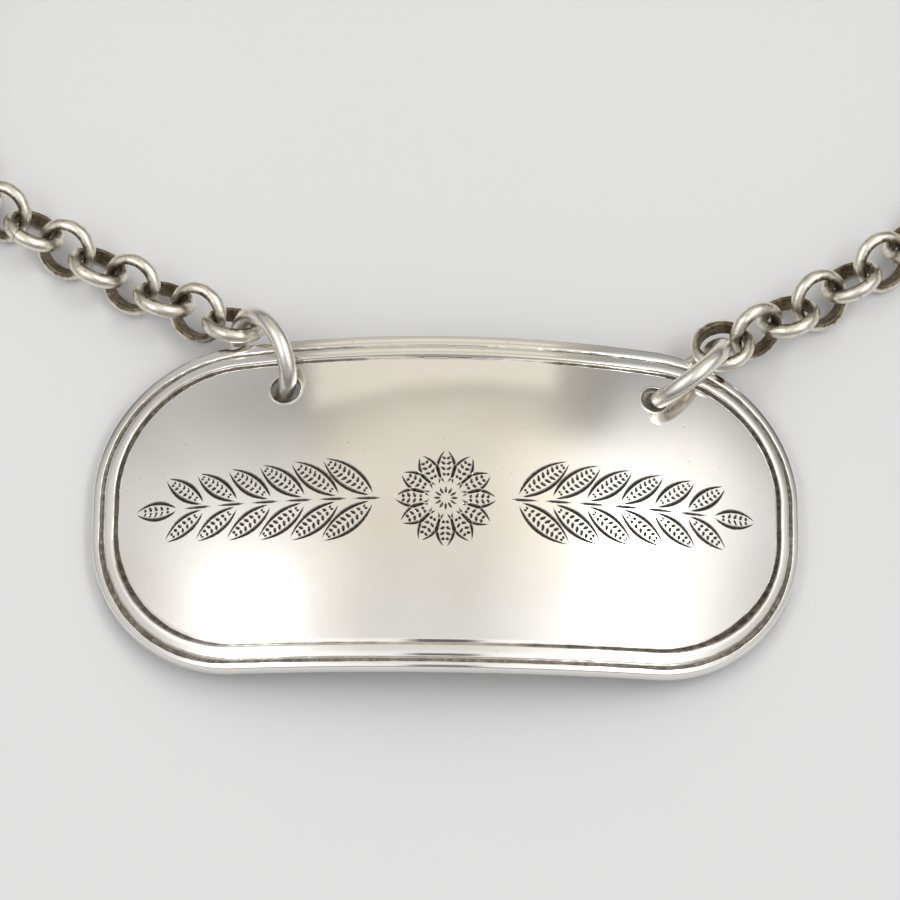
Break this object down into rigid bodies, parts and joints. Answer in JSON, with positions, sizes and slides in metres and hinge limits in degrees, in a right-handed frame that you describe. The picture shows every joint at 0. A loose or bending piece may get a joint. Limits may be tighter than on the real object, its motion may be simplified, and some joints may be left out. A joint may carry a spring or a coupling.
{
  "type": "wine label",
  "caption": "Domed oblong silver bottle label with a reeded rim, hung by two rings from a neck chain of round links.",
  "frame": {"origin": "on the table, under the middle of the label plate", "axes": "+X along the plate to its right end, +Y up the label towards the rings, +Z out of the label's face"},
  "size_m": [0.0769, 0.0586, 0.0071],
  "materials": {
    "label_silver": "polished, finely scratched",
    "ring_silver": "polished, worn",
    "chain_silver": "polished outside, tarnished inside"
  },
  "bodies": {
    "label_plate": {"label_plate": "label_silver"},
    "left_ring": {"left_ring": "ring_silver"},
    "right_ring": {"right_ring": "ring_silver"},
    "left_link_01": {"left_link_01": "chain_silver"},
    "left_link_02": {"left_link_02": "chain_silver"},
    "left_link_03": {"left_link_03": "chain_silver"},
    "left_link_04": {"left_link_04": "chain_silver"},
    "left_link_05": {"left_link_05": "chain_silver"},
    "left_link_06": {"left_link_06": "chain_silver"},
    "left_link_07": {"left_link_07": "chain_silver"},
    "left_link_08": {"left_link_08": "chain_silver"},
    "left_link_09": {"left_link_09": "chain_silver"},
    "left_link_10": {"left_link_10": "chain_silver"},
    "left_link_11": {"left_link_11": "chain_silver"},
    "left_link_12": {"left_link_12": "chain_silver"},
    "left_link_13": {"left_link_13": "chain_silver"},
    "left_link_14": {"left_link_14": "chain_silver"},
    "left_link_15": {"left_link_15": "chain_silver"},
    "left_link_16": {"left_link_16": "chain_silver"},
    "left_link_17": {"left_link_17": "chain_silver"},
    "left_link_18": {"left_link_18": "chain_silver"},
    "left_link_19": {"left_link_19": "chain_silver"},
    "left_link_20": {"left_link_20": "chain_silver"},
    "left_link_21": {"left_link_21": "chain_silver"},
    "left_link_22": {"left_link_22": "chain_silver"},
    "left_link_23": {"left_link_23": "chain_silver"},
    "left_link_24": {"left_link_24": "chain_silver"},
    "left_link_25": {"left_link_25": "chain_silver"},
    "left_link_26": {"left_link_26": "chain_silver"},
    "left_link_27": {"left_link_27": "chain_silver"},
    "left_link_28": {"left_link_28": "chain_silver"},
    "right_link_01": {"right_link_01": "chain_silver"},
    "right_link_02": {"right_link_02": "chain_silver"},
    "right_link_03": {"right_link_03": "chain_silver"},
    "right_link_04": {"right_link_04": "chain_silver"},
    "right_link_05": {"right_link_05": "chain_silver"},
    "right_link_06": {"right_link_06": "chain_silver"},
    "right_link_07": {"right_link_07": "chain_silver"},
    "right_link_08": {"right_link_08": "chain_silver"},
    "right_link_09": {"right_link_09": "chain_silver"},
    "right_link_10": {"right_link_10": "chain_silver"},
    "right_link_11": {"right_link_11": "chain_silver"},
    "right_link_12": {"right_link_12": "chain_silver"},
    "right_link_13": {"right_link_13": "chain_silver"},
    "right_link_14": {"right_link_14": "chain_silver"},
    "right_link_15": {"right_link_15": "chain_silver"},
    "right_link_16": {"right_link_16": "chain_silver"},
    "right_link_17": {"right_link_17": "chain_silver"},
    "right_link_18": {"right_link_18": "chain_silver"},
    "right_link_19": {"right_link_19": "chain_silver"},
    "right_link_20": {"right_link_20": "chain_silver"},
    "right_link_21": {"right_link_21": "chain_silver"},
    "right_link_22": {"right_link_22": "chain_silver"},
    "right_link_23": {"right_link_23": "chain_silver"},
    "right_link_24": {"right_link_24": "chain_silver"},
    "right_link_25": {"right_link_25": "chain_silver"},
    "right_link_26": {"right_link_26": "chain_silver"},
    "right_link_27": {"right_link_27": "chain_silver"}
  },
  "joints": [
    {"name": "left_ring_swing", "type": "hinge", "parent": "label_plate", "child": "left_ring", "pos_m": [-0.0105, 0.00765, 0.00437], "axis": [0, 0, 1], "range_deg": [-36, 0]},
    {"name": "left_link_01_swing", "type": "hinge", "parent": "left_ring", "child": "left_link_01", "pos_m": [-0.01365, 0.0125, 0.00319], "axis": [0, 0, -1], "range_deg": [-6, 10]},
    {"name": "left_link_02_swing", "type": "hinge", "parent": "left_link_01", "child": "left_link_02", "pos_m": [-0.01532, 0.01307, 0.00289], "axis": [0, 0, 1], "range_deg": [-4, 22]},
    {"name": "left_link_03_swing", "type": "hinge", "parent": "left_link_02", "child": "left_link_03", "pos_m": [-0.01762, 0.01418, 0.00237], "axis": [0, 0, -1], "range_deg": [-21, 18]},
    {"name": "left_link_04_swing", "type": "hinge", "parent": "left_link_03", "child": "left_link_04", "pos_m": [-0.01985, 0.01532, 0.00193], "axis": [0, 0, 1], "range_deg": [-18, 21]},
    {"name": "left_link_05_swing", "type": "hinge", "parent": "left_link_04", "child": "left_link_05", "pos_m": [-0.02208, 0.0165, 0.00166], "axis": [0, 0, -1], "range_deg": [-21, 18]},
    {"name": "left_link_06_swing", "type": "hinge", "parent": "left_link_05", "child": "left_link_06", "pos_m": [-0.0243, 0.01774, 0.00166], "axis": [0, 0, 1], "range_deg": [-18, 21]},
    {"name": "left_link_07_swing", "type": "hinge", "parent": "left_link_06", "child": "left_link_07", "pos_m": [-0.0265, 0.01902, 0.00166], "axis": [0, 0, -1], "range_deg": [-21, 18]},
    {"name": "left_link_08_swing", "type": "hinge", "parent": "left_link_07", "child": "left_link_08", "pos_m": [-0.02867, 0.02034, 0.00166], "axis": [0, 0, 1], "range_deg": [-18, 21]},
    {"name": "left_link_09_swing", "type": "hinge", "parent": "left_link_08", "child": "left_link_09", "pos_m": [-0.03081, 0.0217, 0.00166], "axis": [0, 0, -1], "range_deg": [-31, 8]},
    {"name": "left_link_10_swing", "type": "hinge", "parent": "left_link_09", "child": "left_link_10", "pos_m": [-0.03265, 0.02345, 0.00166], "axis": [0, 0, 1], "range_deg": [-8, 31]},
    {"name": "left_link_11_swing", "type": "hinge", "parent": "left_link_10", "child": "left_link_11", "pos_m": [-0.03411, 0.02552, 0.00166], "axis": [0, 0, -1], "range_deg": [-31, 8]},
    {"name": "left_link_12_swing", "type": "hinge", "parent": "left_link_11", "child": "left_link_12", "pos_m": [-0.03515, 0.02784, 0.00166], "axis": [0, 0, 1], "range_deg": [-8, 31]},
    {"name": "left_link_13_swing", "type": "hinge", "parent": "left_link_12", "child": "left_link_13", "pos_m": [-0.03571, 0.03032, 0.00166], "axis": [0, 0, -1], "range_deg": [-31, 8]},
    {"name": "left_link_14_swing", "type": "hinge", "parent": "left_link_13", "child": "left_link_14", "pos_m": [-0.03578, 0.03286, 0.00166], "axis": [0, 0, 1], "range_deg": [-8, 31]},
    {"name": "left_link_15_swing", "type": "hinge", "parent": "left_link_14", "child": "left_link_15", "pos_m": [-0.03536, 0.03536, 0.00166], "axis": [0, 0, -1], "range_deg": [-31, 8]},
    {"name": "left_link_16_swing", "type": "hinge", "parent": "left_link_15", "child": "left_link_16", "pos_m": [-0.03445, 0.03774, 0.00166], "axis": [0, 0, 1], "range_deg": [-8, 31]},
    {"name": "left_link_17_swing", "type": "hinge", "parent": "left_link_16", "child": "left_link_17", "pos_m": [-0.03311, 0.03989, 0.00166], "axis": [0, 0, -1], "range_deg": [-31, 8]},
    {"name": "left_link_18_swing", "type": "hinge", "parent": "left_link_17", "child": "left_link_18", "pos_m": [-0.03137, 0.04174, 0.00166], "axis": [0, 0, 1], "range_deg": [-8, 31]},
    {"name": "left_link_19_swing", "type": "hinge", "parent": "left_link_18", "child": "left_link_19", "pos_m": [-0.0293, 0.04322, 0.00166], "axis": [0, 0, -1], "range_deg": [-31, 8]},
    {"name": "left_link_20_swing", "type": "hinge", "parent": "left_link_19", "child": "left_link_20", "pos_m": [-0.02699, 0.04427, 0.00166], "axis": [0, 0, 1], "range_deg": [-8, 31]},
    {"name": "left_link_21_swing", "type": "hinge", "parent": "left_link_20", "child": "left_link_21", "pos_m": [-0.02452, 0.04485, 0.00166], "axis": [0, 0, -1], "range_deg": [-31, 8]},
    {"name": "left_link_22_swing", "type": "hinge", "parent": "left_link_21", "child": "left_link_22", "pos_m": [-0.02198, 0.04494, 0.00166], "axis": [0, 0, 1], "range_deg": [-20, 20]},
    {"name": "left_link_23_swing", "type": "hinge", "parent": "left_link_22", "child": "left_link_23", "pos_m": [-0.01944, 0.04503, 0.00166], "axis": [0, 0, -1], "range_deg": [-20, 20]},
    {"name": "left_link_24_swing", "type": "hinge", "parent": "left_link_23", "child": "left_link_24", "pos_m": [-0.0169, 0.04512, 0.00166], "axis": [0, 0, 1], "range_deg": [-20, 20]},
    {"name": "left_link_25_swing", "type": "hinge", "parent": "left_link_24", "child": "left_link_25", "pos_m": [-0.01436, 0.04521, 0.00166], "axis": [0, 0, -1], "range_deg": [-20, 20]},
    {"name": "left_link_26_swing", "type": "hinge", "parent": "left_link_25", "child": "left_link_26", "pos_m": [-0.01183, 0.0453, 0.00166], "axis": [0, 0, 1], "range_deg": [-20, 20]},
    {"name": "left_link_27_swing", "type": "hinge", "parent": "left_link_26", "child": "left_link_27", "pos_m": [-0.00929, 0.04538, 0.00166], "axis": [0, 0, -1], "range_deg": [-20, 20]},
    {"name": "left_link_28_swing", "type": "hinge", "parent": "left_link_27", "child": "left_link_28", "pos_m": [-0.00675, 0.04547, 0.00166], "axis": [0, 0, 1], "range_deg": [-20, 20]},
    {"name": "right_ring_swing", "type": "hinge", "parent": "label_plate", "child": "right_ring", "pos_m": [0.0135, 0.00755, 0.00363], "axis": [0, 0, 1], "range_deg": [-4, 36]},
    {"name": "right_link_01_swing", "type": "hinge", "parent": "right_ring", "child": "right_link_01", "pos_m": [0.01781, 0.01156, 0.00327], "axis": [0, 0, -1], "range_deg": [-8, 30]},
    {"name": "right_link_02_swing", "type": "hinge", "parent": "right_link_01", "child": "right_link_02", "pos_m": [0.01915, 0.01227, 0.0031], "axis": [0, 0, 1], "range_deg": [-6, 10]},
    {"name": "right_link_03_swing", "type": "hinge", "parent": "right_link_02", "child": "right_link_03", "pos_m": [0.02132, 0.0135, 0.00231], "axis": [0, 0, -1], "range_deg": [-18, 21]},
    {"name": "right_link_04_swing", "type": "hinge", "parent": "right_link_03", "child": "right_link_04", "pos_m": [0.02347, 0.01479, 0.00191], "axis": [0, 0, 1], "range_deg": [-21, 18]},
    {"name": "right_link_05_swing", "type": "hinge", "parent": "right_link_04", "child": "right_link_05", "pos_m": [0.0256, 0.01615, 0.00166], "axis": [0, 0, -1], "range_deg": [-18, 21]},
    {"name": "right_link_06_swing", "type": "hinge", "parent": "right_link_05", "child": "right_link_06", "pos_m": [0.02771, 0.01757, 0.00166], "axis": [0, 0, 1], "range_deg": [-21, 18]},
    {"name": "right_link_07_swing", "type": "hinge", "parent": "right_link_06", "child": "right_link_07", "pos_m": [0.02977, 0.01904, 0.00166], "axis": [0, 0, -1], "range_deg": [-18, 21]},
    {"name": "right_link_08_swing", "type": "hinge", "parent": "right_link_07", "child": "right_link_08", "pos_m": [0.0318, 0.02057, 0.00166], "axis": [0, 0, 1], "range_deg": [-21, 18]},
    {"name": "right_link_09_swing", "type": "hinge", "parent": "right_link_08", "child": "right_link_09", "pos_m": [0.03379, 0.02215, 0.00166], "axis": [0, 0, -1], "range_deg": [-9, 30]},
    {"name": "right_link_10_swing", "type": "hinge", "parent": "right_link_09", "child": "right_link_10", "pos_m": [0.03545, 0.02408, 0.00166], "axis": [0, 0, 1], "range_deg": [-30, 9]},
    {"name": "right_link_11_swing", "type": "hinge", "parent": "right_link_10", "child": "right_link_11", "pos_m": [0.03671, 0.02628, 0.00166], "axis": [0, 0, -1], "range_deg": [-9, 30]},
    {"name": "right_link_12_swing", "type": "hinge", "parent": "right_link_11", "child": "right_link_12", "pos_m": [0.03754, 0.02868, 0.00166], "axis": [0, 0, 1], "range_deg": [-30, 9]},
    {"name": "right_link_13_swing", "type": "hinge", "parent": "right_link_12", "child": "right_link_13", "pos_m": [0.03791, 0.03119, 0.00166], "axis": [0, 0, -1], "range_deg": [-9, 30]},
    {"name": "right_link_14_swing", "type": "hinge", "parent": "right_link_13", "child": "right_link_14", "pos_m": [0.0378, 0.03373, 0.00166], "axis": [0, 0, 1], "range_deg": [-30, 9]},
    {"name": "right_link_15_swing", "type": "hinge", "parent": "right_link_14", "child": "right_link_15", "pos_m": [0.03721, 0.0362, 0.00166], "axis": [0, 0, -1], "range_deg": [-9, 30]},
    {"name": "right_link_16_swing", "type": "hinge", "parent": "right_link_15", "child": "right_link_16", "pos_m": [0.03618, 0.03852, 0.00166], "axis": [0, 0, 1], "range_deg": [-30, 9]},
    {"name": "right_link_17_swing", "type": "hinge", "parent": "right_link_16", "child": "right_link_17", "pos_m": [0.03472, 0.0406, 0.00166], "axis": [0, 0, -1], "range_deg": [-9, 30]},
    {"name": "right_link_18_swing", "type": "hinge", "parent": "right_link_17", "child": "right_link_18", "pos_m": [0.03291, 0.04238, 0.00166], "axis": [0, 0, 1], "range_deg": [-30, 9]},
    {"name": "right_link_19_swing", "type": "hinge", "parent": "right_link_18", "child": "right_link_19", "pos_m": [0.03079, 0.04378, 0.00166], "axis": [0, 0, -1], "range_deg": [-9, 30]},
    {"name": "right_link_20_swing", "type": "hinge", "parent": "right_link_19", "child": "right_link_20", "pos_m": [0.02845, 0.04476, 0.00166], "axis": [0, 0, 1], "range_deg": [-30, 9]},
    {"name": "right_link_21_swing", "type": "hinge", "parent": "right_link_20", "child": "right_link_21", "pos_m": [0.02596, 0.04528, 0.00166], "axis": [0, 0, -1], "range_deg": [-9, 30]},
    {"name": "right_link_22_swing", "type": "hinge", "parent": "right_link_21", "child": "right_link_22", "pos_m": [0.02342, 0.04533, 0.00166], "axis": [0, 0, 1], "range_deg": [-20, 20]},
    {"name": "right_link_23_swing", "type": "hinge", "parent": "right_link_22", "child": "right_link_23", "pos_m": [0.02088, 0.04538, 0.00166], "axis": [0, 0, -1], "range_deg": [-20, 20]},
    {"name": "right_link_24_swing", "type": "hinge", "parent": "right_link_23", "child": "right_link_24", "pos_m": [0.01834, 0.04543, 0.00166], "axis": [0, 0, 1], "range_deg": [-20, 20]},
    {"name": "right_link_25_swing", "type": "hinge", "parent": "right_link_24", "child": "right_link_25", "pos_m": [0.0158, 0.04548, 0.00166], "axis": [0, 0, -1], "range_deg": [-20, 20]},
    {"name": "right_link_26_swing", "type": "hinge", "parent": "right_link_25", "child": "right_link_26", "pos_m": [0.01326, 0.04553, 0.00166], "axis": [0, 0, 1], "range_deg": [-20, 20]},
    {"name": "right_link_27_swing", "type": "hinge", "parent": "right_link_26", "child": "right_link_27", "pos_m": [0.01072, 0.04558, 0.00166], "axis": [0, 0, -1], "range_deg": [-20, 20]}
  ]
}
